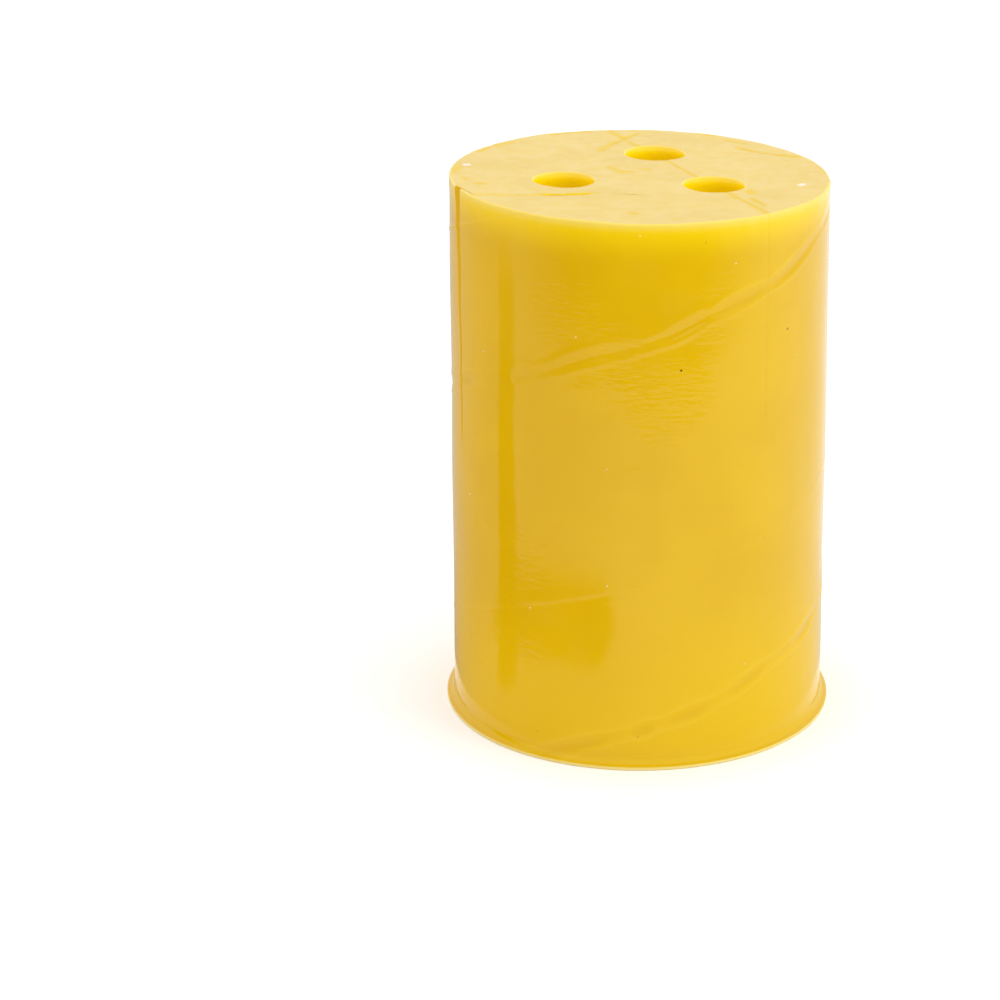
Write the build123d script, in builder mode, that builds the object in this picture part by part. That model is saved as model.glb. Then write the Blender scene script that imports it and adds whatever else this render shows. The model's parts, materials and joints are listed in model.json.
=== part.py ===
from build123d import *
import os

# A flexible mould, cast as one block of rubber, that makes three twisted candles at
# once with their tips down. Two release slits run from the pouring face half-way down,
# so the upper half opens: the right half and the front flap bend away from the rest.
# Millimetres. +Z is up, and the origin is the centre of the base.

# Block
TOP_RADIUS = 44.5            # wall radius at the pouring face
BASE_RADIUS = 44.9           # the wall widens slightly towards the base
HEIGHT = 131.5               # from the base to the pouring face, on the axis
TOP_FALL = (0.019, 0.028)    # fall of the pouring face per mm towards +X and +Y
LIP_RADIUS = 46.7            # thin flange where the rubber ran out under its form
LIP_THICKNESS = 0.9
LIP_COVE = 1.8               # radius of the cove between the flange and the wall

# Candle cavities, from the tip at the bottom to the plain shank at the pouring face
CAVITY_CENTRES = ((-17.5, -6.4), (3.65, 20.7), (17.2, -8.0))
CAVITY_TURNS = (0, 40, 75)   # each cavity's twist starts at its own angle
CANDLE_LENGTH = 111.0
SHANK_RADIUS = 6.7
SHANK_LENGTH = 14.0
MOUTH_ROUNDING = 0.7
LOBES = 3
LOBE_OFFSET = 3.5
LOBE_RADIUS = 3.55
VALLEY_FILLET = 0.8
TWIST_LEAD = 37.7            # right-handed
TIP_RADIUS = 4.5
TIP_LENGTH = 10.0            # the lobes rise out of the plain tip above this
WICK_RADIUS = 1.25

# Release slits
SLIT_FLOOR = 67.0            # both slits stop this far above the base
KERF = 0.3
RIGHT_SLIT_ANGLE = 25.8      # heading, round Z, of the right half
RIGHT_SLIT_OFFSET = 11.4     # from the block's axis
FRONT_SLIT_OUTER = (-42.0, -20.0)   # just outside the wall
FRONT_SLIT_INNER = (-10.3, -18.2)
FRONT_SLIT_GAPE = 1.7        # degrees that the flap stands open when left alone

TIP_Z = HEIGHT - CANDLE_LENGTH
SHANK_Z = HEIGHT - SHANK_LENGTH
LOBE_REACH = LOBE_OFFSET + LOBE_RADIUS
SPARE = 5.0                  # cutters run this far past the faces they cut


def candle_sleeve():
    """The round outline that the twist swells to fill above its domed tip."""
    with BuildPart() as sleeve:
        with BuildSketch(Plane.XZ):
            with BuildLine():
                dome = RadiusArc((0, TIP_Z), (TIP_RADIUS, TIP_Z + TIP_RADIUS), -TIP_RADIUS)
                swell = Spline(
                    dome @ 1,
                    (TIP_RADIUS + 0.3, TIP_Z + TIP_LENGTH),
                    (LOBE_REACH - 0.6, TIP_Z + 2 * TIP_LENGTH),
                    (LOBE_REACH + 1, TIP_Z + 3 * TIP_LENGTH),
                    tangents=((0, 1), (0.2, 1)),
                )
                Polyline(
                    swell @ 1,
                    (LOBE_REACH + 1, SHANK_Z + SPARE),
                    (0, SHANK_Z + SPARE),
                    (0, TIP_Z),
                )
            make_face()
        revolve(axis=Axis.Z)
    return sleeve.part


def candle_form():
    """The space one candle and its wick fill, standing on the origin's axis."""
    sleeve = candle_sleeve()
    twist = Helix(TWIST_LEAD, SHANK_Z - TIP_Z, LOBE_REACH, center=(0, 0, TIP_Z))
    with BuildPart() as form:
        with BuildSketch(Plane.XY.offset(TIP_Z)) as lobes:
            with PolarLocations(LOBE_OFFSET, LOBES):
                Circle(LOBE_RADIUS)
            fillet(lobes.vertices(), VALLEY_FILLET)
        with BuildLine() as axis:
            Line((0, 0, TIP_Z), (0, 0, SHANK_Z))
        sweep(sections=lobes.sketch, path=axis.line, binormal=twist)
        add(sleeve, mode=Mode.INTERSECT)
        with BuildSketch(Plane.XY.offset(SHANK_Z)):
            Circle(SHANK_RADIUS)
        extrude(amount=SHANK_LENGTH + SPARE)
        with BuildSketch(Plane.XY.offset(-SPARE)):
            Circle(WICK_RADIUS)
        extrude(amount=TIP_Z + 2 * SPARE)
    return form.part


pouring_face = Plane(origin=(0, 0, HEIGHT), z_dir=(*TOP_FALL, 1))
candle = candle_form()

# The whole casting before it is slit
with BuildPart() as casting:
    with BuildSketch(Plane.XZ):
        with BuildLine():
            Polyline((0, HEIGHT + SPARE), (0, 0), (LIP_RADIUS, 0), (LIP_RADIUS, LIP_THICKNESS))
            cove = RadiusArc(
                (LIP_RADIUS, LIP_THICKNESS),
                (BASE_RADIUS, LIP_THICKNESS + LIP_COVE),
                LIP_COVE,
            )
            Polyline(cove @ 1, (TOP_RADIUS, HEIGHT + SPARE), (0, HEIGHT + SPARE))
        make_face()
    revolve(axis=Axis.Z)
    split(bisect_by=pouring_face, keep=Keep.BOTTOM)
    for centre, turn in zip(CAVITY_CENTRES, CAVITY_TURNS):
        with Locations(Location((*centre, 0), (0, 0, turn))):
            add(candle, mode=Mode.SUBTRACT)
    top = casting.faces().sort_by(Axis.Z)[-1]
    fillet(top.inner_wires().edges(), MOUTH_ROUNDING)

# Where the slits run. The right one goes from rim to rim through two of the cavities.
right_slit = Plane(
    origin=Vector(RIGHT_SLIT_OFFSET, 0, 0).rotate(Axis.Z, RIGHT_SLIT_ANGLE),
    z_dir=Vector(1, 0, 0).rotate(Axis.Z, RIGHT_SLIT_ANGLE),
)

# The front one enters through the wall and shallows towards its inner end, so the flap
# in front of it is joined to the block along a slope.
front_low = Vector(*FRONT_SLIT_OUTER, SLIT_FLOOR)
front_high = Vector(*FRONT_SLIT_INNER, HEIGHT)
front_slope = front_high - front_low
front_heading = Vector(front_slope.Y, -front_slope.X, 0)
front_slit = Plane(origin=front_low, x_dir=front_slope, z_dir=front_heading)
flap_face = Plane(front_slit.offset(KERF).location * Rotation(FRONT_SLIT_GAPE, 0, 0))
flap_root = Plane(origin=front_low, x_dir=(0, 1, 0), z_dir=(-front_slope.Z, 0, front_slope.X))

with BuildPart() as base_block:
    add(casting.part)
    split(bisect_by=Plane.XY.offset(SLIT_FLOOR), keep=Keep.BOTTOM)

with BuildPart() as right_half:
    add(casting.part)
    split(bisect_by=Plane.XY.offset(SLIT_FLOOR), keep=Keep.TOP)
    split(bisect_by=right_slit.offset(KERF / 2), keep=Keep.TOP)

with BuildPart() as left_side:
    add(casting.part)
    split(bisect_by=Plane.XY.offset(SLIT_FLOOR), keep=Keep.TOP)
    split(bisect_by=right_slit.offset(-KERF / 2), keep=Keep.BOTTOM)

with BuildPart() as front_flap:
    add(left_side.part)
    split(bisect_by=flap_face, keep=Keep.TOP)
    split(bisect_by=flap_root, keep=Keep.TOP)

with BuildPart() as flap_space:
    Box(4 * TOP_RADIUS, 4 * TOP_RADIUS, 4 * HEIGHT)
    split(bisect_by=front_slit, keep=Keep.TOP)
    split(bisect_by=flap_root, keep=Keep.TOP)

with BuildPart() as main_half:
    add(left_side.part)
    add(flap_space.part, mode=Mode.SUBTRACT)

os.makedirs("parts", exist_ok=True)
nodes = {
    "base_block": base_block,
    "main_half": main_half,
    "right_half": right_half,
    "front_flap": front_flap,
}
for name, node in nodes.items():
    node.part.label = name
    export_step(node.part, f"parts/{name}.step")
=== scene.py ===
import json
import math
import bpy
import numpy as np
from mathutils import Matrix, Vector
from mathutils.geometry import delaunay_2d_cdt


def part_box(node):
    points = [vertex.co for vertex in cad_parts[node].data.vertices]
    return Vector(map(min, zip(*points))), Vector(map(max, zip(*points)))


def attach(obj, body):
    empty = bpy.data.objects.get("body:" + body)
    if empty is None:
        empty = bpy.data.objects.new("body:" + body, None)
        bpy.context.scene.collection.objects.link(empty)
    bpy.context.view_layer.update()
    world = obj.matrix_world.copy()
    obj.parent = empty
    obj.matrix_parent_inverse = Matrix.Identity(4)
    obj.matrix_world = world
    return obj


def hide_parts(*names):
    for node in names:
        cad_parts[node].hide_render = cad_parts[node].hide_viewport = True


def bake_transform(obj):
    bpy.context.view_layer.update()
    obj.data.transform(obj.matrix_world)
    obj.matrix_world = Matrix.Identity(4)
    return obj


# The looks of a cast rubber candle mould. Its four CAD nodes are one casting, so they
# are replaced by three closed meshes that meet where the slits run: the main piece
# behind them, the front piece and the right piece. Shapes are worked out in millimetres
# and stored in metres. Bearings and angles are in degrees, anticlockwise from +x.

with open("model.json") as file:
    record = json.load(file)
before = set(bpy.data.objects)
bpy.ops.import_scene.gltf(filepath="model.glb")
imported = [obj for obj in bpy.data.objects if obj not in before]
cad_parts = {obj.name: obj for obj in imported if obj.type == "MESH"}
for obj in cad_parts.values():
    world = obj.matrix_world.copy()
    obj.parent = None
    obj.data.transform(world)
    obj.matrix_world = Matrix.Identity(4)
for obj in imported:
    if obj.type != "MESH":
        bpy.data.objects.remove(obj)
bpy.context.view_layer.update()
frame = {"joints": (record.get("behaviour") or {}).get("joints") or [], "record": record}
record = frame["record"]
MM = 0.001


def mount_mm(name):
    """A mount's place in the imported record, in millimetres."""
    found = next(m for m in record["mounts"] if m["name"] == name)
    return np.array(found["pos_m"]) / MM


def joint(name):
    return next(j for j in frame["joints"] if j["name"] == name)


# Block
HEIGHT = 131.5               # at the middle of the pouring face
TOP_RADIUS = 44.5
BASE_RADIUS = 44.9
TOP_FALL = np.array((0.019, 0.028))      # of the pouring face along x and y
TILT_START = 80.0            # rows above this height lean with the pouring face
LIP_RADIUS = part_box("base_block")[1].x / MM
LIP_EDGE = 0.9               # height of the lip's upright edge
LIP_COVE = 1.8               # height of the cove above it
LIP_ROUNDING = 0.3           # height of the rounding at its foot
RIM_ROUNDING = 0.5
MOUTH_FLARE = 0.75           # of the cavities, over the last few millimetres
MOUTH_DEPTH = 2.4
SLIT_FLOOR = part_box("base_block")[1].z / MM

# Cavities
LEFT = mount_mm("pour_hole_left")[:2]
REAR = mount_mm("pour_hole_rear")[:2]
RIGHT = mount_mm("pour_hole_right")[:2]
TWIST_START = {"left": 0.0, "rear": 40.0, "right": 75.0}
TIP_Z = HEIGHT - 111.0
SHANK_Z = HEIGHT - 14.0
SHANK_RADIUS = 6.7
LOBE_OFFSET = 3.5            # of each strand from the candle's axis
LOBE_RADIUS = 3.55
VALLEY_RADIUS = 3.75         # the least radius between two strands
TWIST_LEAD = 37.7            # height of one full turn of a strand
TIP_RADIUS = 4.5
WICK_RADIUS = 1.25
TIP_ROWS = (0.0, 0.177, 0.3, 0.8)        # the dome is as wide as the wick hole at the second

# Slits, in plan
ACROSS = np.array((math.cos(math.radians(25.8)), math.sin(math.radians(25.8))))
ALONG = np.array((ACROSS[1], -ACROSS[0]))    # the right slit, rear to front
OFFSET = 11.4                # of the right slit from the axis
GROOVE = 0.32                # half the width of the fine groove along the closed right slit
FACE_GROOVE_DEPTH = 0.10
WALL_GROOVE_DEPTH = 0.09
GROOVE_SHADE = 0.25           # the wall groove gets the painted shade of a hollow this deep
MEETING = ACROSS * OFFSET + ALONG * 28.0     # where the three pieces meet
FRONT_SLIT_WALL = 202.5      # degrees round the block
FRONT_SLIT_X = (-38.0, -31.7, -24.8, -18.0, -10.3)
FRONT_SLIT_Y = (-21.2, -21.2, -20.6, -19.6, -18.2)
FRONT_SLIT_END = FRONT_SLIT_X[-1]
FRONT_SLIT_NOTCH = 4.4       # degrees of wall worn away from its rear edge at the top
FRONT_SLIT_GAP = 1.2         # at its mouth
FRONT_SLIT_MOUTH = 1.1       # depth over which the mouth closes
FRONT_SLIT_KERF = 0.1        # below the mouth
FLAP_FOOT_X = -42.0          # the flap's root slopes up from here, at the slit floor

# Mesh spacing
ROW = 0.55                   # up the block
COLUMN = 0.9                 # round the block
CAVITY_STEP = 4.0            # degrees round a cavity
SLIT_STEP = 3.0              # along a slit face
FACE_GRID = 1.3              # over the pouring face
UNDERSIDE_GRID = 4.0
OUTLINE_MARGIN = 0.45        # share of the grid kept clear beside an outline
LINE_MARGIN = 0.3            # share of the grid kept clear beside a mark's lines
LINE_END_GAP = 0.15          # between a mark's line and an outline
ROUND_STEPS = 5              # round the rim
LATTICE = 2e4                # steps to a millimetre: points on one step become one point

# Studio, in metres, and in degrees from the front for what lies round the mould
LAMP_AIM = (0, 0, 0.07)
ROOM_EDGE = 0.303                    # where the white floor ends in front
ROOM_SPREAD = 84.0                   # how far round the dark beyond it reaches
ROOM_FADE = 48.0
# A painted shadow on the floor at the left front, seen only in reflections
SHADOW_NEAR = 0.094
SHADOW_FAR = 0.172
SHADOW_MIDDLE = 0.128                 # the distance at which it reaches furthest right
STAND = (-0.070, -0.0340)
STAND_RADII = (0.0080, 0.0055)       # at its foot and at its top
STAND_ROWS = (0.0, 0.095, 0.101, 0.107, 0.114)
STAND_GREYS = (0.02, 0.02, 0.12, 0.34, 0.62)     # on each row: it fades out at its top

WALL, TOP, CUT, CAVITY, UNDERSIDE, WEDGE = range(6)
rng = np.random.default_rng(11)


def bearing_of(point):
    return math.degrees(math.atan2(point[1], point[0]))


HALF_CHORD = math.sqrt(TOP_RADIUS ** 2 - OFFSET ** 2)
REAR_RIM = bearing_of(ACROSS * OFFSET - ALONG * HALF_CHORD)
FRONT_RIM = bearing_of(ACROSS * OFFSET + ALONG * HALF_CHORD) + 360.0
SLIT_BEARING = bearing_of(ALONG)     # seen from either cavity on the slit


# ------------------------------ shape functions

def smooth(t):
    """A smooth step from 0 to 1 as t goes from 0 to 1."""
    t = np.clip(t, 0.0, 1.0)
    return t * t * (3.0 - 2.0 * t)


def ridge(distance, width):
    """1 on a line, falling off to both sides of it."""
    return np.exp(-((distance / width) ** 2))


def soft_max(a, b, power=12):
    """The larger of two lengths, with a rounded join."""
    return (a ** power + b ** power) ** (1 / power)


def soft_min(a, b, power=14.0):
    """The smaller of two lengths, with a rounded join."""
    return (a ** -power + b ** -power) ** (-1 / power)


def make_waves(count, shortest, longest):
    """Random plane waves, each as its frequency along both axes and its phase."""
    heading = rng.uniform(0, 2 * math.pi, count)
    length = np.exp(rng.uniform(math.log(shortest), math.log(longest), count))
    phase = rng.uniform(0, 2 * math.pi, count)
    return np.cos(heading) / length, np.sin(heading) / length, phase


def waves(u, v, field):
    """Smooth noise of about unit size at (u, v)."""
    total = np.zeros(np.broadcast(u, v).shape)
    for a, b, phase in zip(*field):
        total += np.sin(2 * math.pi * (a * u + b * v) + phase)
    return total / math.sqrt(len(field[0]) / 2)


SWELL = make_waves(14, 30, 90)           # of the wall
TOP_SWELL = make_waves(14, 12, 40)       # of the pouring face
WOBBLE = make_waves(8, 12, 30)           # of the overlap's line
NICKS = make_waves(10, 3, 16)            # of the rim
SWELL_HEIGHT = 0.07
TOP_SWELL_HEIGHT = 0.05
WOBBLE_HEIGHT = 0.35
NICK_DEPTH = 0.05

# The print of the spirally wound tube that the block was cast in. Its overlap leaves two
# low ridges with shallow blisters between them, and a ply's end leaves a thin raised line
# between the turns. Bearings run on from turn to turn.
TURN = 2.15 * TOP_RADIUS     # rise of the spiral in one turn
OVERLAP = 1.93 * TOP_RADIUS - 200.0 / 360.0 * TURN
PLY_LINE = 0.71 * TOP_RADIUS - 213.0 / 360.0 * TURN
PLY_WIDTH = 0.5
UPPER_RIDGE = 0.06
LOWER_RIDGE = 0.055
CHANNEL = 0.035              # depth between the ridges
BLISTER_DEPTH = 0.11
BLISTERS = (
    (-121, -98), (-92, -84), (-81, -67), (-62, -47), (-34, -21), (-14, 11), (16, 30), (36, 58),
    (63, 80), (86, 104), (108, 131), (135, 147), (153, 172), (176, 188),
    (202, 212), (229, 237), (244, 269), (277, 291), (292, 310), (312, 335), (341, 352), (356, 375),
)


def print_strength(bearing):
    """How strong the print is: strongest low down, and stronger at both slits."""
    strength = 1.0 + 1.4 * smooth((200.0 - bearing) / 80.0)
    return strength + (0.7 * ridge(bearing - 203.0, 22.0) + 1.5 * ridge(bearing - 312.0, 24.0))


def overlap_print(bearing, z):
    """How far one turn of the tube's overlap stands out, in mm."""
    arc = np.radians(bearing) * TOP_RADIUS
    across = z - OVERLAP - bearing / 360.0 * TURN - WOBBLE_HEIGHT * waves(arc, 0 * z, WOBBLE)
    bulge = np.zeros(bearing.shape)
    for first, last in BLISTERS:
        share = np.clip((bearing - first) / (last - first), 0.0, 1.0)
        bulge = np.maximum(bulge, np.sin(math.pi * share) ** 0.7)
    # The two ridges part to go round each blister.
    upper = ridge(across - 1.9 - 0.9 * bulge, 1.0)
    lower = ridge(across + 1.4 + 0.6 * bulge, 0.8)
    channel = ridge(across - 0.5, 1.7)
    blister = bulge * ridge(across + 0.1, 1.0)
    relief = UPPER_RIDGE * upper + LOWER_RIDGE * lower - CHANNEL * channel - BLISTER_DEPTH * blister
    return print_strength(bearing) * relief


def ply_print(bearing, z):
    """How far the thin line stands out, in mm: more near the rim."""
    stray = 0.068 * TOP_RADIUS * (1.0 - np.cos(np.radians(bearing) - math.radians(213.0)))
    height = 0.07 + 0.09 * smooth((z - 115.0) / 8.0)
    out = 0.0
    for turn in (-1, 0, 1):
        line = PLY_LINE + (bearing / 360.0 + turn) * TURN - stray
        out = out + height * ridge(z - line, PLY_WIDTH)
    return out


def tube_print(angle, z):
    """How far the print of the tube stands out, in mm."""
    bearing = np.mod(angle - 190.0, 360.0) + 190.0
    turns = overlap_print(bearing, z) + overlap_print(bearing - 360.0, z)
    return turns + ply_print(bearing, z)


def wall_relief(angle, z):
    """How far the wall stands out of a plain cone, in mm."""
    around = np.radians(angle)
    swell = waves(TOP_RADIUS * np.cos(around), z + TOP_RADIUS * np.sin(around), SWELL)
    return SWELL_HEIGHT * swell + tube_print(angle, z)


def slit_groove(angle, z):
    """1 on the closed right slit's line down the wall, falling to 0 beside it."""
    near = 0.0
    for rim in (REAR_RIM, FRONT_RIM, FRONT_RIM - 360.0):
        aside = np.abs(np.radians(angle - rim)) * TOP_RADIUS
        near = near + np.clip(1.0 - aside / GROOVE, 0.0, 1.0)
    return near * smooth((z - SLIT_FLOOR) / 20.0)


def wall_radius(angle, z):
    taper = BASE_RADIUS + (TOP_RADIUS - BASE_RADIUS) * z / HEIGHT
    fade = smooth((HEIGHT - 1.0 - z) / 3.0) * smooth((z - 2.0) / 3.0)
    around = np.radians(angle)
    nicks = waves(TOP_RADIUS * np.cos(around), TOP_RADIUS * np.sin(around), NICKS)
    nicks = NICK_DEPTH * nicks * smooth((z - HEIGHT + 5.0) / 5.0)
    groove = WALL_GROOVE_DEPTH * slit_groove(angle, z)
    return taper + fade * wall_relief(angle, z) + nicks - groove


# Marks on the pouring face, in plan: two ends, a width and a depth. A negative depth is a
# crumb stuck on the face. The first row is a scratch over the rear end of the right slit.
MARKS = (
    ((-0.5, 40.7), (-7.2, 27.8), 0.45, 0.10),
    ((-8.0, 26.1), (-9.1, 22.2), 1.1, 0.16),
    ((23.2, 27.5), (31.8, 21.2), 0.40, 0.10),
    ((32.2, 21.0), (37.6, 19.8), 0.90, 0.25),
    ((20.5, 35.2), (25.8, 31.4), 0.35, 0.08),
    ((25.4, -13.6), (25.6, -15.4), 1.5, 0.16),
    ((25.4, -19.6), (28.2, -26.3), 0.50, 0.12),
    ((-7.6, 6.7), (-4.5, 2.7), 0.8, 0.06),
    ((-4.3, 1.3), (-1.9, 2.6), 0.9, 0.07),
    ((0.9, 4.6), (2.7, 3.8), 0.8, 0.06),
    ((-37.1, -11.6), (-36.2, -12.0), 0.7, 0.10),
    ((-40.4, -6.8), (-39.8, -7.7), 0.6, 0.08),
    ((-1.6, -34.9), (-0.8, -35.4), 0.9, 0.12),
    ((-15.8, 40.3), (-12.4, 41.4), 1.1, 0.10),
    ((-21.1, 37.2), (-17.9, 38.8), 0.9, 0.08),
    ((-38.3, 19.2), (-36.4, 22.4), 1.1, 0.10),
    ((-34.2, 24.9), (-31.2, 28.2), 0.8, 0.06),
    ((-43.0, -1.0), (-42.7, 4.6), 1.0, 0.08),
    ((14.8, 40.6), (18.3, 39.2), 0.8, 0.06),
    ((-40.8, 5.7), (-40.3, 5.9), 0.9, -0.12),
    ((37.1, -6.6), (37.5, -6.4), 0.6, -0.08),
)


def beside(x, y, start, end):
    """Distances from a line between two plan points."""
    ax, ay = start
    bx, by = end[0] - ax, end[1] - ay
    t = np.clip(((x - ax) * bx + (y - ay) * by) / (bx * bx + by * by), 0.0, 1.0)
    return np.hypot(x - ax - t * bx, y - ay - t * by)


def beside_right_slit(x, y):
    return np.abs(ACROSS[0] * x + ACROSS[1] * y - OFFSET)


def marked_height(x, y):
    """The pouring face with its marks and the groove along the right slit."""
    groove = np.clip(1.0 - beside_right_slit(x, y) / GROOVE, 0.0, 1.0)
    z = top_height(x, y) - FACE_GROOVE_DEPTH * groove
    for start, end, width, depth in MARKS:
        z = z - depth * np.clip(1.0 - 2.0 * beside(x, y, start, end) / width, 0.0, 1.0)
    return z


def wear(x, y):
    """1 in a scratch, in the groove and along the front slit, -1 on a crumb, 0 elsewhere."""
    total = np.zeros(np.broadcast(x, y).shape)
    # The colour reaches a little past each mark and past the groove.
    for start, end, width, depth in MARKS:
        near = np.clip(1.9 - 2.0 * beside(x, y, start, end) / width, 0.0, 1.0)
        total = total + math.copysign(1.0, depth) * near
    total = total + np.clip(2.2 - 1.5 * beside_right_slit(x, y) / GROOVE, 0.0, 1.0)
    slit_y = np.interp(x, FRONT_SLIT_X, FRONT_SLIT_Y)
    half_gap = 0.5 * FRONT_SLIT_GAP
    at_slit = (np.abs(y - slit_y + half_gap) < half_gap + 0.2) & (x < FRONT_SLIT_END + 0.1)
    shown = 0.5 + 0.5 * smooth((x - FRONT_SLIT_END + 15.0) / 5.0)
    return np.clip(total + np.where(at_slit, shown, 0.0), -1.0, 1.0)


def mark_lines():
    """Plan lines that the mesh follows so that each mark has a crisp shape."""
    lines = []
    for start, end, width, _ in MARKS:
        a, b = np.array(start), np.array(end)
        along = (b - a) / np.linalg.norm(b - a)
        count = max(3, int(np.linalg.norm(b - a) / 0.8))
        side = np.array((-along[1], along[0])) * width / 2
        for share in (-1.0, 0.0, 1.0):
            grow = along * width / 2 * (1.0 if share == 0 else 0.3)
            lines.append(np.linspace(a - grow + share * side, b + grow + share * side, count))
    for side in (-GROOVE, GROOVE):
        reach = ALONG * TOP_RADIUS
        lines.append(np.linspace(-reach, reach, 80) + ACROSS * (OFFSET + side))
    return lines


def top_height(x, y):
    """The pouring face: nearly flat, but not quite level."""
    level = HEIGHT - TOP_FALL[0] * x - TOP_FALL[1] * y
    return level + TOP_SWELL_HEIGHT * waves(x, y, TOP_SWELL)


def real_z(x, y, level):
    """The height of a nominal level, which the tilt of the pouring face pulls up or down."""
    share = smooth((level - TILT_START) / (HEIGHT - TILT_START))
    return level + (marked_height(x, y) - HEIGHT) * share


def make_levels():
    """Heights of the mesh rows, and how far the rounding at the rim sets each one in."""
    lip = [0.0, 0.12, LIP_ROUNDING, 0.6, LIP_EDGE]
    cove = [LIP_EDGE + LIP_COVE * (1 - math.cos(math.radians(a))) for a in range(18, 91, 12)]
    start = LIP_EDGE + LIP_COVE
    count = int((HEIGHT - RIM_ROUNDING - start) / ROW)
    wall = list(np.linspace(start + 0.2, HEIGHT - RIM_ROUNDING, count))
    tip = [TIP_Z + d for d in TIP_ROWS]
    wall = [z for z in wall if min(abs(z - t) for t in tip) > 0.12]
    levels = sorted(lip + cove + wall + tip)
    steps = np.radians(np.linspace(0, 90, ROUND_STEPS + 1))[1:]
    rounding = [HEIGHT - RIM_ROUNDING + RIM_ROUNDING * math.sin(a) for a in steps]
    inset = [0.0] * len(levels) + [RIM_ROUNDING * (1 - math.cos(a)) for a in steps]
    return np.array(levels + rounding), np.array(inset)


LEVELS, INSETS = make_levels()


def lip_swell(level):
    """How far the foot flange stands out of the wall at a level."""
    reach = LIP_RADIUS - BASE_RADIUS
    down = np.clip((level - LIP_EDGE) / LIP_COVE, 0.0, 1.0)
    cove = 1.0 - np.sqrt(np.clip(1.0 - (1.0 - down) ** 2, 0.0, 1.0))
    edge = np.where(level < LIP_ROUNDING, 0.25 * (1 - level / LIP_ROUNDING) ** 2, 0.0)
    return reach * cove - edge


def wall_points(angle, level, inset):
    """Points of the outside of the block."""
    radians = np.radians(angle)
    nominal_x = TOP_RADIUS * np.cos(radians)
    nominal_y = TOP_RADIUS * np.sin(radians)
    radius = wall_radius(angle, real_z(nominal_x, nominal_y, level)) + lip_swell(level) - inset
    x = radius * np.cos(radians)
    y = radius * np.sin(radians)
    return np.stack((x, y, real_z(x, y, level)), axis=-1)


def cavity_radius(bearing, level, start):
    """The cavity's radius: wick hole, domed tip, three-start twist, then the plain shank."""
    turned = bearing - start - 360.0 * (level - TIP_Z) / TWIST_LEAD
    lobe = np.radians(np.mod(turned + 60.0, 120.0) - 60.0)
    side = LOBE_OFFSET * np.sin(lobe)
    strand = LOBE_OFFSET * np.cos(lobe) + np.sqrt(LOBE_RADIUS ** 2 - side ** 2)
    twist = soft_max(strand, VALLEY_RADIUS)
    up = level - TIP_Z
    below = np.clip(TIP_RADIUS - up, 0.0, TIP_RADIUS)
    dome = np.sqrt(np.clip(TIP_RADIUS ** 2 - below ** 2, 0.01, None))
    # The candle tapers: the strands reach their full width 30 mm above its tip.
    sleeve = dome + 0.3 * smooth((up - 4.5) / 5.5) + 3.4 * smooth((up - 8.0) / 22.0)
    mix = smooth((level - SHANK_Z + 0.6) / 1.6)
    body = soft_min(twist, sleeve) * (1 - mix) + SHANK_RADIUS * mix
    return np.where(up < 0.1, WICK_RADIUS, np.maximum(body, WICK_RADIUS))


def cavity_points(centre, start, bearing, level, inset):
    radius = cavity_radius(bearing, level, start) + inset
    x = centre[0] + radius * np.cos(np.radians(bearing))
    y = centre[1] + radius * np.sin(np.radians(bearing))
    return np.stack((x, y, real_z(x, y, level)), axis=-1)


# ------------------------------ mesh assembly

def grid_faces(rows, columns):
    """The quads of a grid of points; the front is where columns run anticlockwise."""
    index = np.arange(rows * columns).reshape(rows, columns)
    quads = np.stack((index[:-1, :-1], index[:-1, 1:], index[1:, 1:], index[1:, :-1]), -1)
    return quads.reshape(-1, 4).tolist()


def store(mesh, name, values):
    """Keeps a number on each point, for a material to read."""
    attribute = mesh.attributes.new(name, "FLOAT", "POINT")
    attribute.data.foreach_set("value", values.astype(np.float32).ravel())


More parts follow.
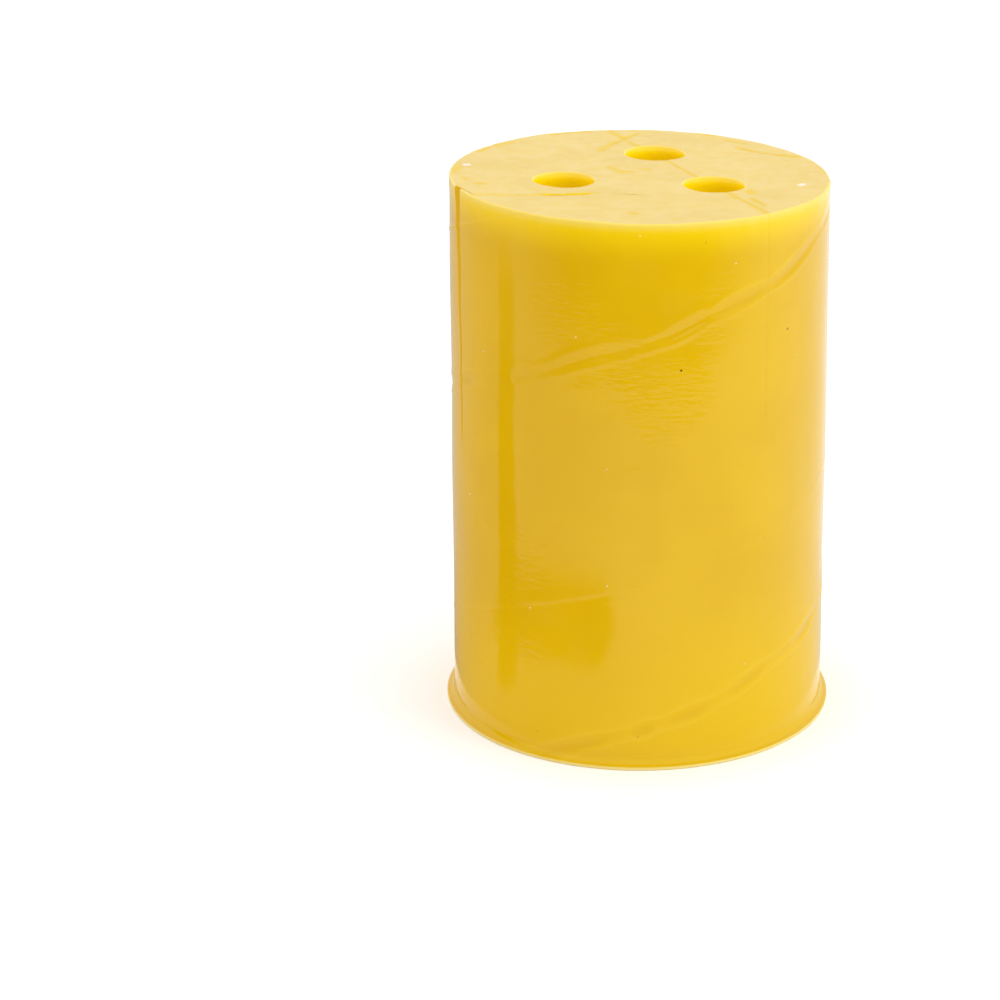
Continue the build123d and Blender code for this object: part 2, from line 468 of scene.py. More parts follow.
class Shell:
    """Collects patches that share edge points, and makes one closed mesh of them."""

    def __init__(self):
        self.points = []
        self.normals = []
        self.faces = []
        self.kinds = []
        self.total = 0

    def add(self, points, normals, faces, kind):
        self.points.append(points)
        self.normals.append(normals)
        self.faces.extend([tuple(i + self.total for i in face) for face in faces])
        self.kinds.extend([kind] * len(faces))
        self.total += len(points)

    def grid(self, points, normals, kind):
        """A patch of rows by columns of points."""
        faces = grid_faces(*points.shape[:2])
        self.add(points.reshape(-1, 3), normals.reshape(-1, 3), faces, kind)

    def joined_faces(self, merged):
        """The faces on merged points, their kinds, and the point that each corner came from."""
        faces, kinds, corners = [], [], []
        for face, kind in zip(self.faces, self.kinds):
            ring = [int(merged[i]) for i in face]
            keep = [k for k in range(len(ring)) if ring[k] != ring[k - 1]]
            if len(set(ring[k] for k in keep)) < 3:
                continue
            faces.append([ring[k] for k in keep])
            kinds.append(kind)
            corners.extend(face[k] for k in keep)
        return faces, kinds, corners

    def build(self, name, materials):
        points = np.concatenate(self.points)
        normals = np.concatenate(self.normals)
        keys = np.round(points * LATTICE).astype(np.int64)
        _, first, merged = np.unique(keys, axis=0, return_index=True, return_inverse=True)
        faces, kinds, corners = self.joined_faces(merged.ravel())
        places = points[first]
        mesh = bpy.data.meshes.new(name)
        mesh.from_pydata((places * MM).tolist(), [], faces)
        for material in materials:
            mesh.materials.append(material)
        mesh.polygons.foreach_set("material_index", kinds)
        mesh.polygons.foreach_set("use_smooth", [True] * len(faces))
        mesh.update()
        mesh.normals_split_custom_set(normals[corners].tolist())
        rest = mesh.attributes.new("rest_place", "FLOAT_VECTOR", "POINT")
        rest.data.foreach_set("vector", places.astype(np.float32).ravel())
        x, y, z = places.T
        angle = np.degrees(np.arctan2(y, x))
        store(mesh, "wear", np.where(z > SHANK_Z, wear(x, y), 0.0))
        # The tube's print and the groove, which the wall colour turns into painted shade in hollows
        # and painted highlight on ridges
        store(mesh, "print", tube_print(angle, z) - GROOVE_SHADE * slit_groove(angle, z))
        piece = bpy.data.objects.new(name, mesh)
        bpy.context.scene.collection.objects.link(piece)
        return piece


def grid_normals(points):
    """Unit normals of a grid of points, facing right of the rows' direction of travel."""
    down = np.gradient(points, axis=0)
    side = np.gradient(points, axis=1)
    normal = np.cross(side, down)
    length = np.linalg.norm(normal, axis=-1, keepdims=True)
    return normal / np.maximum(length, 1e-12)


def wall_patch(start, end):
    """The outside between two bearings, which may vary with the row."""
    span = np.max(end - start)
    count = max(3, int(round(math.radians(span) * TOP_RADIUS / COLUMN)))
    share = np.arange(-1, count + 2) / count
    edge = math.degrees(GROOVE / TOP_RADIUS) / span
    share = np.sort(np.append(share, (-edge, edge, 1.0 - edge, 1.0 + edge)))
    angle = start[:, None] + (end - start)[:, None] * share[None, :]
    points = wall_points(angle, LEVELS[:, None], INSETS[:, None])
    return points[:, 2:-2], grid_normals(points)[:, 2:-2]


def cavity_patch(centre, start, first, last):
    """The inside of a cavity, from the first bearing to the last, which may vary with the row."""
    first = first + np.zeros(len(LEVELS))
    last = last + np.zeros(len(LEVELS))
    count = int(round(np.max(np.abs(last - first)) / CAVITY_STEP))
    share = np.arange(-1, count + 2) / count
    bearing = first[:, None] + (last - first)[:, None] * share[None, :]
    climb = np.clip((LEVELS[:, None] - HEIGHT + MOUTH_DEPTH) / MOUTH_DEPTH, 0.0, 1.0)
    flare = MOUTH_FLARE * (1.0 - np.sqrt(1.0 - climb ** 2))
    points = cavity_points(centre, start, bearing, LEVELS[:, None], flare)
    return points[:, 1:-1], grid_normals(points)[:, 1:-1]


def curtain(*stops):
    """A slit face: rows of points from one edge to another, by way of plan points."""
    parts = []
    stops = [stop[:, :2] for stop in stops]
    for a, b in zip(stops[:-1], stops[1:]):
        span = np.linalg.norm(b - a, axis=1).max()
        count = max(2, int(round(span / SLIT_STEP)))
        share = (np.arange(count) / count)[None, :, None]
        parts.append(a[:, None] + (b - a)[:, None] * share)
    parts.append(stops[-1][:, None])
    plan = np.concatenate(parts, axis=1)
    z = real_z(plan[..., 0], plan[..., 1], LEVELS[:, None])
    points = np.concatenate((plan, z[..., None]), axis=-1)
    return points, grid_normals(points)


def inside(points, loop):
    """Which points lie inside a closed loop."""
    x, y = points[:, 0], points[:, 1]
    result = np.zeros(len(points), bool)
    for a, b in zip(loop, np.roll(loop, -1, axis=0)):
        spans = (a[1] > y) != (b[1] > y)
        if spans.any():
            cross = (b[0] - a[0]) * (y - a[1]) / (b[1] - a[1] + 1e-30) + a[0]
            result ^= spans & (x < cross)
    return result


def clear_of(points, loop, gap):
    """Which points are further than gap from a loop."""
    result = np.ones(len(points), bool)
    for a, b in zip(loop, np.roll(loop, -1, axis=0)):
        edge = b - a
        t = np.clip(((points - a) @ edge) / max(edge @ edge, 1e-12), 0, 1)
        near = a + t[:, None] * edge
        result &= np.linalg.norm(points - near, axis=1) > gap
    return result


def within(points, loops):
    """Which points lie inside the first loop and outside the others."""
    result = inside(points, loops[0])
    for hole in loops[1:]:
        result &= ~inside(points, hole)
    return result


def staggered_grid(loop, spacing):
    """Points in staggered rows over the extent of a loop."""
    low, high = loop.min(0), loop.max(0)
    xs = np.arange(low[0], high[0], spacing)
    ys = np.arange(low[1], high[1], spacing)
    field = np.stack(np.meshgrid(xs, ys), -1).reshape(-1, 2)
    field[:, 0] += 0.5 * spacing * (np.round((field[:, 1] - low[1]) / spacing) % 2)
    return field


def drawn_edges(loops, lines):
    """The points of the loops and of the lines inside the first one, and their edges."""
    points, edges = [], []
    for loop in loops:
        base = len(points)
        points.extend(loop.tolist())
        edges.extend((base + i, base + (i + 1) % len(loop)) for i in range(len(loop)))
    for line in lines:
        keep = inside(line, loops[0])
        for loop in loops:
            keep &= clear_of(line, loop, LINE_END_GAP)
        for i in np.flatnonzero(keep):
            if i and keep[i - 1]:
                edges.append((len(points) - 1, len(points)))
            points.append(line[i].tolist())
    return points, edges


def triangulate(points, edges, loops, up):
    """Plan points and the triangles between them that lie within the loops."""
    result = delaunay_2d_cdt([Vector(p) for p in points], edges, [], 0, 1e-7)
    flat = np.array([tuple(v) for v in result[0]])
    triangles = np.array(result[2])
    triangles = triangles[within(flat[triangles].mean(axis=1), loops)]
    a, b, c = (flat[triangles[:, k]] for k in range(3))
    ccw = (b[:, 0] - a[:, 0]) * (c[:, 1] - a[:, 1]) > (b[:, 1] - a[:, 1]) * (c[:, 0] - a[:, 0])
    turn = ccw != up
    triangles[turn] = triangles[turn][:, ::-1]
    return flat, triangles


def slope_normals(height, x, y):
    """Unit normals of a height function, facing up."""
    step = 0.03
    dx = (height(x + step, y) - height(x - step, y)) / (2 * step)
    dy = (height(x, y + step) - height(x, y - step)) / (2 * step)
    normals = np.stack((-dx, -dy, np.ones(len(x))), -1)
    return normals / np.linalg.norm(normals, axis=1, keepdims=True)


def flat_face(shell, loops, height, kind, up, lines=(), grid=FACE_GRID):
    """Fills the first loop, less the others, with triangles that follow a height function."""
    # Neighbouring patches share their edge points, so each loop has some points twice.
    steps = [np.linalg.norm(loop - np.roll(loop, 1, axis=0), axis=1) for loop in loops]
    loops = [loop[step > 1e-4] for loop, step in zip(loops, steps)]
    field = staggered_grid(loops[0], grid)
    field = field[within(field, loops)]
    for loop in loops:
        field = field[clear_of(field, loop, OUTLINE_MARGIN * grid)]
    for line in lines:
        there_and_back = np.concatenate((line, line[::-1]))
        field = field[clear_of(field, there_and_back, LINE_MARGIN * grid)]
    points, edges = drawn_edges(loops, lines)
    flat, triangles = triangulate(points + field.tolist(), edges, loops, up)
    x, y = flat.T
    normals = slope_normals(height, x, y) * (1.0 if up else -1.0)
    shell.add(np.column_stack((flat, height(x, y))), normals, triangles.tolist(), kind)


# ------------------------------ where the slits run

def flap_depth(x, level):
    """Height above the slope that joins the flap to the block."""
    slope = (HEIGHT - SLIT_FLOOR) / (FRONT_SLIT_END - FLAP_FOOT_X)
    return level - SLIT_FLOOR - slope * (x - FLAP_FOOT_X)


def slit_wander(level):
    """The front slit was cut by hand, so its line on the wall isn't quite straight."""
    cut = smooth((level - SLIT_FLOOR) / 6.0) * smooth((HEIGHT - level) / 30.0)
    return cut * (0.22 * np.sin(level / 2.9) + 0.25 * np.sin(level / 6.1 + 1.0)) * 0.8


def notch(level):
    """How far the front slit's rear edge is worn back, as a share of that at the top."""
    t = np.clip((level - SLIT_FLOOR) / (HEIGHT - SLIT_FLOOR), 0.0, 1.0)
    return 0.3 * smooth(t / 0.15) + 0.7 * t ** 2.5


def plan_stop(point, gap=0.0, heading=(0.0, 0.0)):
    """A plan point on every row, set back by a gap that may vary with the row."""
    gap = gap + np.zeros(len(LEVELS))
    return np.asarray(point)[None, :] + gap[:, None] * np.asarray(heading)[None, :]


def front_gap(x):
    """The front slit's gap on every row: open at its mouth, most of all at its inner end."""
    spread = 0.12 + 0.88 * smooth((x - FRONT_SLIT_END + 13.0) / 3.0)
    mouth = FRONT_SLIT_GAP * spread * np.exp((LEVELS - HEIGHT) / FRONT_SLIT_MOUTH)
    return (FRONT_SLIT_KERF + mouth) * smooth(flap_depth(x, LEVELS) / 3.0)


def front_slit():
    """Plan points along the front slit's rear and front faces, from the wall inwards."""
    across = np.linspace(FRONT_SLIT_X[0], FRONT_SLIT_END, 19)
    line = [(x, np.interp(x, FRONT_SLIT_X, FRONT_SLIT_Y)) for x in across]
    back = [plan_stop(point) for point in line]
    fore = [plan_stop(point, front_gap(point[0]), (0.0, -1.0)) for point in line]
    return back, fore


def half_cavity(centre, start, side):
    """Part of a cavity on the right slit: side 1 is the right piece's, -1 the main piece's."""
    reach = OFFSET - ACROSS @ centre
    front = np.full(len(LEVELS), SLIT_BEARING)
    rear = front + 180.0
    for _ in range(6):       # the radius varies with the bearing, so this closes in on it
        front = SLIT_BEARING + np.degrees(np.arcsin(reach / cavity_radius(front, LEVELS, start)))
        rear_lean = np.degrees(np.arcsin(reach / cavity_radius(rear, LEVELS, start)))
        rear = SLIT_BEARING + 180.0 - rear_lean
    if side > 0:
        return cavity_patch(centre, start, rear, front)
    return cavity_patch(centre, start, front + 360.0, rear)


# ------------------------------ the three pieces

def ground(x, y):
    return np.zeros(np.broadcast(x, y).shape)


def row_loops(row, ring, holes):
    """The outline of a piece on one row of its patches, and then its holes."""
    outline = np.concatenate([points[row, :, :2] for (points, _), _ in ring])
    return [outline] + [points[row, :, :2] for (points, _), _ in holes]


def make_piece(name, ring, holes, materials):
    """Closes a ring of patches, taken anticlockwise, with a pouring face and an underside."""
    shell = Shell()
    for (points, normals), kind in ring + holes:
        shell.grid(points, normals, kind)
    top, bottom = (row_loops(row, ring, holes) for row in (-1, 0))
    flat_face(shell, top, marked_height, TOP, True, lines=mark_lines())
    flat_face(shell, bottom, ground, UNDERSIDE, False, grid=UNDERSIDE_GRID)
    return shell.build(name, materials)


def make_mould(materials):
    """The main, front and right pieces, in that order."""
    wander = np.degrees(slit_wander(LEVELS) / TOP_RADIUS)
    front_edge = FRONT_SLIT_WALL + wander
    rear_edge = front_edge - FRONT_SLIT_NOTCH * notch(LEVELS)
    steady = np.zeros(len(LEVELS))

    # Wall
    main_wall = wall_patch(REAR_RIM + steady, rear_edge)
    front_wall = wall_patch(front_edge, FRONT_RIM + steady)
    right_wall = wall_patch(FRONT_RIM - 360.0 + steady, REAR_RIM + steady)

    # Cavities
    rear_main = half_cavity(REAR, TWIST_START["rear"], -1)
    right_main = half_cavity(RIGHT, TWIST_START["right"], -1)
    rear_right = half_cavity(REAR, TWIST_START["rear"], 1)
    right_right = half_cavity(RIGHT, TWIST_START["right"], 1)
    left_whole = cavity_patch(LEFT, TWIST_START["left"], 360.0, 0.0)

    # Front slit
    back_stops, fore_stops = front_slit()
    meeting = plan_stop(MEETING)
    back_wedge = curtain(main_wall[0][:, -1], back_stops[0])
    back_face = curtain(*back_stops, meeting)
    fore_face = curtain(meeting, *fore_stops[::-1])
    fore_wedge = curtain(fore_stops[0], front_wall[0][:, 0])

    # Right slit
    main_rear = curtain(rear_main[0][:, -1], main_wall[0][:, 0])
    main_between = curtain(right_main[0][:, -1], rear_main[0][:, 0])
    main_front = curtain(meeting, right_main[0][:, 0])
    front_side = curtain(front_wall[0][:, -1], meeting)
    right_rear = curtain(right_wall[0][:, -1], rear_right[0][:, 0])
    right_between = curtain(rear_right[0][:, -1], right_right[0][:, 0])
    right_front = curtain(right_right[0][:, -1], meeting, right_wall[0][:, 0])

    main_ring = [
        (main_wall, WALL), (back_wedge, WEDGE), (back_face, CUT), (main_front, CUT),
        (right_main, CAVITY), (main_between, CUT), (rear_main, CAVITY), (main_rear, CUT),
    ]
    front_ring = [(front_wall, WALL), (front_side, CUT), (fore_face, CUT), (fore_wedge, WEDGE)]
    right_ring = [
        (right_wall, WALL), (right_rear, CUT), (rear_right, CAVITY),
        (right_between, CUT), (right_right, CAVITY), (right_front, CUT),
    ]
    return (
        make_piece("mould_main", main_ring, [(left_whole, CAVITY)], materials),
        make_piece("mould_front", front_ring, [], materials),
        make_piece("mould_right", right_ring, [], materials),
    )


# ------------------------------ materials

class Shading:
    """A Principled material whose textures sit on the rubber, so they bend with it."""

    def __init__(self, name, roughness, ior=1.5):
        self.material = bpy.data.materials.new(name)
        self.material.use_nodes = True
        self.nodes = self.material.node_tree.nodes
        self.links = self.material.node_tree.links
        self.shader = self.nodes["Principled BSDF"]
        self.set(self.shader, {"Roughness": roughness, "IOR": ior})
        self.place = self.attribute("rest_place", "Vector")

    def set(self, node, inputs):
        """Gives each named input a value, or links it to a socket."""
        for key, value in inputs.items():
            if isinstance(value, bpy.types.NodeSocket):
                self.links.new(value, node.inputs[key])
            else:
                node.inputs[key].default_value = value

    def node(self, kind, inputs, **settings):
        node = self.nodes.new("ShaderNode" + kind)
        for key, value in settings.items():
            setattr(node, key, value)
        self.set(node, inputs)
        return node

    def attribute(self, name, output="Fac"):
        return self.node("Attribute", {}, attribute_name=name).outputs[output]

    def maths(self, operation, a, b):
        return self.node("Math", {0: a, 1: b}, operation=operation).outputs[0]

    def stretched(self, x, y, z):
        """The place on the rubber with each axis scaled, for a texture with a grain."""
        return self.node("Mapping", {"Vector": self.place, "Scale": (x, y, z)}).outputs[0]

    def noise(self, scale, detail=3.0, vector=None, roughness=0.5):
        inputs = {"Scale": scale, "Detail": detail, "Roughness": roughness}
        inputs["Vector"] = vector or self.place
        return self.node("TexNoise", inputs).outputs["Fac"]

    def band(self, value, low, high, bottom=0.0, top=1.0):
        """A smooth step from bottom to top as the value goes from low to high."""
        inputs = {"Value": value, "From Min": low, "From Max": high}
        inputs.update({"To Min": bottom, "To Max": top})
        return self.node("MapRange", inputs, interpolation_type="SMOOTHSTEP").outputs[0]

    def dots(self, spacing, radius, share):
        """Small round specks, one in each cell of a share of the cells."""
        cells = self.node("TexVoronoi", {"Vector": self.place, "Scale": 1.0 / spacing})
        near = self.band(cells.outputs["Distance"], radius / spacing, 0.6 * radius / spacing)
        pick = self.node("SeparateColor", {"Color": cells.outputs["Color"]}).outputs[0]
        return self.maths("MULTIPLY", near, self.maths("LESS_THAN", pick, share))

    def near(self, bearing, z, outer, inner):
        """1 within the inner distance of a place on the wall, and 0 beyond the outer one."""
        way = math.radians(bearing)
        place = (TOP_RADIUS * math.cos(way), TOP_RADIUS * math.sin(way), z)
        away = self.node("VectorMath", {0: self.place, 1: place}, operation="DISTANCE")
        return self.band(away.outputs["Value"], outer, inner)

    def blend(self, share, a, b):
        """Colour a where the share is 0, and colour b where it is 1."""
        mix = self.nodes.new("ShaderNodeMix")
        mix.data_type = "RGBA"
        for key, value in (("Factor", share), ("A", a), ("B", b)):
            socket = next(i for i in mix.inputs if i.name == key and i.enabled)
            if isinstance(value, bpy.types.NodeSocket):
                self.links.new(value, socket)
            else:
                socket.default_value = value if key == "Factor" else (*value, 1.0)
        return next(o for o in mix.outputs if o.enabled)

    def height(self):
        """Height, measured square to the sloping pouring face near the top."""
        upright = (*TOP_FALL, 1.0)
        along = self.node("VectorMath", {0: self.place, 1: upright}, operation="DOT_PRODUCT")
        return along.outputs["Value"]

    def bump(self, *layers):
        """Stacks bumps, each a height texture and its depth in millimetres."""
        normal = None
        for height, depth in layers:
            inputs = {"Height": height, "Distance": depth * MM, "Strength": 1.0}
            if normal:
                inputs["Normal"] = normal
            normal = self.node("Bump", inputs).outputs[0]
        self.links.new(normal, self.shader.inputs["Normal"])


# Linear colours
WALL_DARK = (0.605, 0.352, 0.0006)
WALL_LIGHT = (0.635, 0.376, 0.0008)
WALL_LOW = (0.685, 0.418, 0.0008)
# Painted light: the wall's top paler, for light that comes in through the rubber
WALL_RIM_LIGHT = (0.80, 0.54, 0.002)
# Painted highlight along the rounded rim
RIM_HIGHLIGHT = (0.76, 0.58, 0.13)
# Painted light on the lip's thin edge, as if lit through the rubber
FOOT_EDGE_LIGHT = (0.78, 0.62, 0.20)
# Painted shade in the print's hollows and painted highlight on its ridges
PRINT_HOLLOW_SHADE = (0.57, 0.30, 0.0003)
PRINT_RIDGE_HIGHLIGHT = (0.74, 0.50, 0.03)
DUST = (0.80, 0.74, 0.55)
PIT = (0.42, 0.22, 0.001)
SPECK = (0.08, 0.05, 0.01)
FACE_LIGHT = (0.66, 0.480, 0.125)
FACE_DARK = (0.63, 0.450, 0.105)
FACE_SMUDGE = (0.67, 0.42, 0.05)
FACE_GRIT = (0.42, 0.24, 0.01)
FACE_WORN = (0.66, 0.435, 0.001)
CRUMB = (0.76, 0.68, 0.58)
# Cut faces: paler than the wall, painted light for the narrow slit gaps
CUT_DARK = (0.68, 0.43, 0.001)
CUT_LIGHT = (0.74, 0.48, 0.003)
# Painted shade: the notch's face a little darker than the wall
NOTCH_SHADE_DARK = (0.59, 0.325, 0.0003)
NOTCH_SHADE_LIGHT = (0.63, 0.355, 0.0006)
# Cavities: paler than the wall, painted light for light that comes in through the rubber
CAVITY_DARK = (0.84, 0.53, 0.002)
CAVITY_LIGHT = (0.88, 0.57, 0.004)
CAVITY_MOUTH_LIGHT = (0.97, 0.70, 0.002)
# Painted highlight round each cavity's mouth
MOUTH_HIGHLIGHT = (0.72, 0.53, 0.12)
UNDERSIDE_DARK = (0.62, 0.38, 0.02)
UNDERSIDE_LIGHT = (0.66, 0.42, 0.04)

# Bearings and heights of two dark specks, and of wrinkled patches with their sizes.
SPECKS = ((319.5, 103.4), (282.5, 98.2))
WRINKLED = ((247, 115, 15), (262, 104, 10), (280, 90, 14), (292, 112, 11), (232, 48, 12))


def wall_colour(m, dust, pits):
    """Paler low down, with painted light at the rim and on the lip's edge, a painted highlight
    along the top, and painted shade and highlight on the tube's print.
    """
    clouds = m.band(m.noise(0.035), 0.35, 0.65)
    colour = m.blend(clouds, WALL_DARK, WALL_LIGHT)
    above = m.node("SeparateXYZ", {"Vector": m.place}).outputs["Z"]
    colour = m.blend(m.band(above, 50.0, 4.0), colour, WALL_LOW)
    # Painted light: the top 11 mm of the wall paler, for light that comes in through the rubber
    rim = m.band(m.height(), HEIGHT - 11.0, HEIGHT + 1.0)
    colour = m.blend(m.maths("POWER", rim, 1.3), colour, WALL_RIM_LIGHT)
    # Painted highlight: a pale band over the top 3 mm of the wall, at the rounded rim
    bloom = m.band(m.height(), HEIGHT - 3.0, HEIGHT + 0.6)
    colour = m.blend(m.maths("POWER", bloom, 1.6), colour, RIM_HIGHLIGHT)
    # Painted light: the thin edge of the lip paler, as if lit through the rubber
    colour = m.blend(m.band(above, 0.95, 0.70, 0.0, 0.9), colour, FOOT_EDGE_LIGHT)
    # Painted shade in the print's hollows and the groove, painted highlight on its ridges
    relief = m.attribute("print")
    colour = m.blend(m.band(relief, -0.03, -0.26, 0.0, 0.20), colour, PRINT_HOLLOW_SHADE)
    colour = m.blend(m.band(relief, 0.03, 0.20, 0.0, 0.40), colour, PRINT_RIDGE_HIGHLIGHT)
    colour = m.blend(dust, colour, DUST)
    colour = m.blend(pits, colour, PIT)
    for bearing, z in SPECKS:
        colour = m.blend(m.near(bearing, z, 0.34, 0.20), colour, SPECK)
    return colour


def wall_wrinkles(m):
    """Fine level wrinkles, in the named patches and in a few random ones."""
    wrinkle = m.noise(1.0, 2.0, m.stretched(0.30, 0.30, 1.15))
    patch = m.band(m.noise(0.045, 2.0), 0.50, 0.64)
    for bearing, z, size in WRINKLED:
        patch = m.maths("MAXIMUM", patch, m.near(bearing, z, size, 0.4 * size))
    return m.maths("MULTIPLY", wrinkle, patch)


def cast_wall():
    """Glossy rubber cast against a tube: clear yellow, with painted light at the rim for light that
    comes in through the rubber.
    """
    m = Shading("cast_wall", 0.1, ior=1.38)
    dust = m.dots(3.6, 0.22, 0.13)
    pits = m.dots(4.8, 0.20, 0.12)
    scuffs = m.band(m.noise(0.11, 5.0), 0.45, 0.75, 0.07, 0.15)
    m.set(m.shader, {"Base Color": wall_colour(m, dust, pits), "Roughness": scuffs})
    m.bump((wall_wrinkles(m), 0.075), (m.noise(0.5, 3.0), 0.018), (dust, 0.06), (pits, -0.05))
    return m.material


def pouring_face():
    """Matte rubber that set in the open: a pale bloom, smudges and stray specks."""
    m = Shading("pouring_face", 0.42)
    clouds = m.band(m.noise(0.07, 5.0), 0.35, 0.7)
    colour = m.blend(clouds, FACE_LIGHT, FACE_DARK)
    smudge = m.band(m.noise(0.16, 6.0, roughness=0.7), 0.60, 0.72, 0.0, 0.5)
    colour = m.blend(smudge, colour, FACE_SMUDGE)
    grit = m.dots(6.0, 0.15, 0.10)
    colour = m.blend(grit, colour, FACE_GRIT)
    worn = m.attribute("wear")
    broken = m.band(m.noise(1.1, 4.0), 0.30, 0.55, 0.6, 1.0)
    scratch = m.maths("MULTIPLY", m.band(worn, 0.0, 0.8), broken)
    colour = m.blend(scratch, colour, FACE_WORN)
    colour = m.blend(m.band(worn, 0.0, -0.9), colour, CRUMB)
    gloss = m.band(m.noise(0.3, 4.0), 0.3, 0.7, 0.36, 0.50)
    m.set(m.shader, {"Base Color": colour, "Roughness": gloss})
    m.bump((m.noise(0.9, 5.0), 0.05), (m.noise(0.13, 2.0), 0.10), (grit, 0.05))
    return m.material


def cut_face():
    """Rubber parted by a knife: satin, with drawn lines, light coming through it, and colours paler
    than the wall's as painted light in the narrow gaps.
    """
    m = Shading("cut_face", 0.4)
    drawn = m.noise(1.0, 3.0, m.stretched(1.4, 1.4, 0.06))
    colour = m.blend(drawn, CUT_DARK, CUT_LIGHT)
    m.set(m.shader, {"Base Color": colour, "Roughness": m.band(drawn, 0.3, 0.7, 0.34, 0.5)})
    m.bump((drawn, 0.10), (m.noise(2.5, 3.0), 0.02))
    m.set(m.shader, {"Subsurface Weight": 1.0, "Subsurface Scale": 4.0 * MM})
    m.set(m.shader, {"Subsurface Radius": (1.0, 0.9, 0.1)})
    return m.material


def wedge_face():
    """The notch worn along the front slit, coloured a little darker than the wall: painted shade.
    """
    m = Shading("wedge_face", 0.45)
    drawn = m.noise(1.0, 3.0, m.stretched(1.0, 1.0, 0.1))
    colour = m.blend(drawn, NOTCH_SHADE_DARK, NOTCH_SHADE_LIGHT)
    m.set(m.shader, {"Base Color": colour, "Roughness": m.band(drawn, 0.3, 0.7, 0.4, 0.55)})
    m.set(m.shader, {"Specular IOR Level": 0.05})
    m.bump((drawn, 0.08))
    return m.material


def cavity_wall():
    """Smooth, rather glossy rubber cast against a candle, paler than the wall and palest near the
    mouth: painted light for light that comes in through the rubber.
    """
    m = Shading("cavity_wall", 0.22)
    deep = m.blend(m.noise(0.2, 3.0), CAVITY_DARK, CAVITY_LIGHT)
    # Painted light: paler towards the mouth
    lit = m.band(m.height(), HEIGHT - 26.0, HEIGHT - 12.0)
    colour = m.blend(lit, deep, CAVITY_MOUTH_LIGHT)
    # Painted highlight: a pale ring at the very mouth
    bloom = m.band(m.height(), HEIGHT - 0.9, HEIGHT + 0.4)
    colour = m.blend(bloom, colour, MOUTH_HIGHLIGHT)
    gloss = m.band(m.noise(0.5, 3.0), 0.3, 0.7, 0.18, 0.28)
    m.set(m.shader, {"Base Color": colour, "Roughness": gloss})
    m.bump((m.noise(0.8, 3.0), 0.03))
    return m.material


def underside():
    """Rubber cast on a flat board."""
    m = Shading("underside", 0.35)
    colour = m.blend(m.noise(0.06, 4.0), UNDERSIDE_DARK, UNDERSIDE_LIGHT)
    gloss = m.band(m.noise(0.2, 4.0), 0.3, 0.7, 0.3, 0.45)
    m.set(m.shader, {"Base Color": colour, "Roughness": gloss})
    m.bump((m.noise(1.2, 4.0), 0.03))
    return m.material


def make_materials():
    return [cast_wall(), pouring_face(), cut_face(), cavity_wall(), underside(), wedge_face()]


# ------------------------------ studio

def make_camera():
    """The photograph's angle: 21 degrees down, from 0.84 m away, with a 123 mm lens."""
    data = bpy.data.cameras.new("camera")
    data.sensor_width = 36.0
    data.lens = 122.8
    camera = bpy.data.objects.new("camera", data)
    bpy.context.scene.collection.objects.link(camera)
    pitch, yaw, roll = (math.radians(a) for a in (21.31, -2.48, -0.57))
    right = Vector((math.cos(yaw), -math.sin(yaw), 0))
    level = Vector((math.sin(yaw), math.cos(yaw), 0))
    ahead = level * math.cos(pitch) - Vector((0, 0, math.sin(pitch)))
    up = right.cross(ahead)
    turned_right = math.cos(roll) * right + math.sin(roll) * up
    turned_up = -math.sin(roll) * right + math.cos(roll) * up
    axes = Matrix((turned_right, turned_up, -ahead)).transposed().to_4x4()
    place = Vector((0, -17.284, 7.867)) * TOP_RADIUS * MM       # in radii of the block
    camera.matrix_world = Matrix.Translation(place) @ axes
    bpy.context.scene.camera = camera


def plain_material(name, colour, roughness):
    material = bpy.data.materials.new(name)
    material.use_nodes = True
    shader = material.node_tree.nodes["Principled BSDF"]
    shader.inputs["Base Color"].default_value = (*colour, 1)
    shader.inputs["Roughness"].default_value = roughness
    return material


def make_floor():
    side, front, back = 1.6, -1.6, 2.6
    corners = [(-side, front, 0), (side, front, 0), (side, back, 0), (-side, back, 0)]
    mesh = bpy.data.meshes.new("floor")
    mesh.from_pydata(corners, [], [(0, 1, 2, 3)])
    mesh.materials.append(plain_material("floor_white", (0.96, 0.96, 0.97), 0.9))
    floor = bpy.data.objects.new("floor", mesh)
    bpy.context.scene.collection.objects.link(floor)


# The painted shade of the mirrored floor, as a grey by the turn from the front in degrees.
FLAG_TURNS = (-180, -160, -95, -70, -35, -5, 95, 120, 165, 180)
FLAG_GREYS = (0.95, 0.45, 0.45, 0.68, 0.72, 0.95, 0.95, 0.82, 0.82, 0.95)
DARKEST = 0.015


def dark_room(turn, away):
    """1 beyond the front edge of the white floor, which curves away to both sides."""
    edge = ROOM_EDGE + 0.006 * (turn / 20.0) ** 2
    beyond = smooth((away - edge) / 0.008)
    return beyond * smooth((ROOM_SPREAD - np.abs(turn + 2.0)) / ROOM_FADE)


def floor_shadow(turn, away):
    """1 on a painted shadow on the floor at the left front, with a rounded right end."""
    ring = smooth((away - SHADOW_NEAR) / 0.006) * smooth((SHADOW_FAR - away) / 0.036)
    bulge = 16.0 * np.sqrt(np.clip(1.0 - ((away - SHADOW_MIDDLE) / 0.036) ** 2, 0.0, 1.0))
    return ring * smooth((turn + 86.0) / 8.0) * smooth((bulge - 26.0 - turn) / 4.0)


def flag_grey(turn, away):
    """The grey that the gloss mirrors at a turn from the front, and at a distance in metres:
    painted shade of the floor.
    """
    near_shade = 0.76 + 0.24 * smooth((away - 0.055) / 0.09)
    grey = np.interp(turn, FLAG_TURNS, FLAG_GREYS) * near_shade
    dark = np.maximum(dark_room(turn, away), floor_shadow(turn, away))
    return grey * (1.0 - dark) + DARKEST * dark


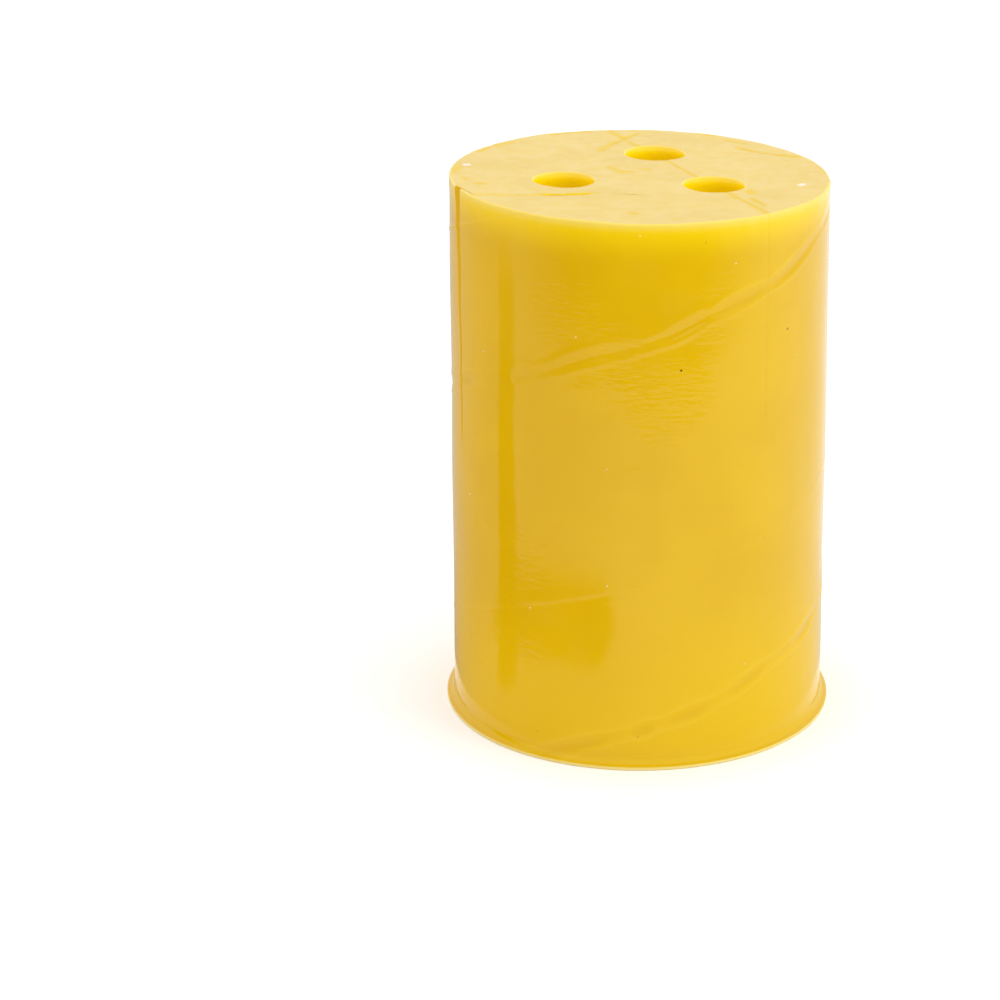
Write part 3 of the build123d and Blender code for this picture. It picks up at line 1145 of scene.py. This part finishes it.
def mirrored_grid(name, points, grey):
    """Rows by columns of points with a grey on each, which only the gloss mirrors."""
    mesh = bpy.data.meshes.new(name)
    mesh.from_pydata(points.reshape(-1, 3).tolist(), [], grid_faces(*grey.shape))
    store(mesh, "grey", grey)
    material = plain_material(name, (0.5, 0.5, 0.5), 0.9)
    tree = material.node_tree
    reading = tree.nodes.new("ShaderNodeAttribute")
    reading.attribute_name = "grey"
    tree.links.new(reading.outputs["Color"], tree.nodes["Principled BSDF"].inputs["Base Color"])
    mesh.materials.append(material)
    piece = bpy.data.objects.new(name, mesh)
    bpy.context.scene.collection.objects.link(piece)
    piece.visible_camera = False
    piece.visible_diffuse = False
    piece.visible_shadow = False


def make_floor_flag():
    """Rings just above the floor, with greys of painted shade that the gloss mirrors in its place.
    """
    distances = np.append(np.arange(0.052, 0.5, 0.006), 1.4)
    turn, away = np.meshgrid(np.linspace(-180, 180, 145), distances)
    way = np.radians(turn - 90.0)
    points = np.stack((away * np.cos(way), away * np.sin(way), 0.0005 + 0 * away), -1)
    mirrored_grid("floor_flag", points, flag_grey(turn, away))


def make_stand():
    """A dark stand at the left, which the wall mirrors as an upright strip."""
    way, up = np.meshgrid(np.linspace(0, 2 * math.pi, 25), STAND_ROWS)
    radius = np.interp(up, (0.0, STAND_ROWS[-1]), STAND_RADII)
    points = np.stack((radius * np.cos(way), radius * np.sin(way), up), -1)
    grey = np.interp(up, STAND_ROWS, STAND_GREYS)
    mirrored_grid("stand", points + np.array((*STAND, 0.0)), grey)


def area_light(name, place, size, watts, colour=(1, 1, 1)):
    """A softbox aimed at the mould, kept out of the reflections."""
    data = bpy.data.lights.new(name, "AREA")
    data.shape = "RECTANGLE"
    data.size, data.size_y = size
    data.energy = watts
    data.color = colour
    lamp = bpy.data.objects.new(name, data)
    lamp.location = place
    aim = Vector(LAMP_AIM) - Vector(place)
    lamp.rotation_euler = aim.to_track_quat("-Z", "Y").to_euler()
    lamp.visible_glossy = False
    bpy.context.scene.collection.objects.link(lamp)


def make_world():
    world = bpy.data.worlds.new("studio")
    bpy.context.scene.world = world
    world.use_nodes = True
    background = world.node_tree.nodes["Background"]
    background.inputs["Color"].default_value = (1, 1, 1, 1)
    background.inputs["Strength"].default_value = 1.0


def make_studio():
    make_world()
    make_floor()
    make_floor_flag()
    make_stand()
    area_light("overhead", (0, 0.1, 1.1), (1.2, 1.0), 4.5)
    area_light("right", (0.9, -0.45, 0.45), (0.6, 0.6), 3.6, (0.84, 1.0, 0.9))
    area_light("left", (-0.9, -0.35, 0.45), (0.6, 0.6), 0.5, (1.0, 0.6, 0.6))
    bpy.context.scene.view_settings.view_transform = "Standard"


# ------------------------------ build

make_camera()
main_piece, front_piece, right_piece = make_mould(make_materials())
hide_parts("base_block", "main_half")
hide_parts("front_flap")
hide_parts("right_half")
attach(main_piece, "block")

foot = Vector(joint("right_half_bend")["pos_m"])
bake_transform(right_piece)
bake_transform(front_piece)
make_studio()
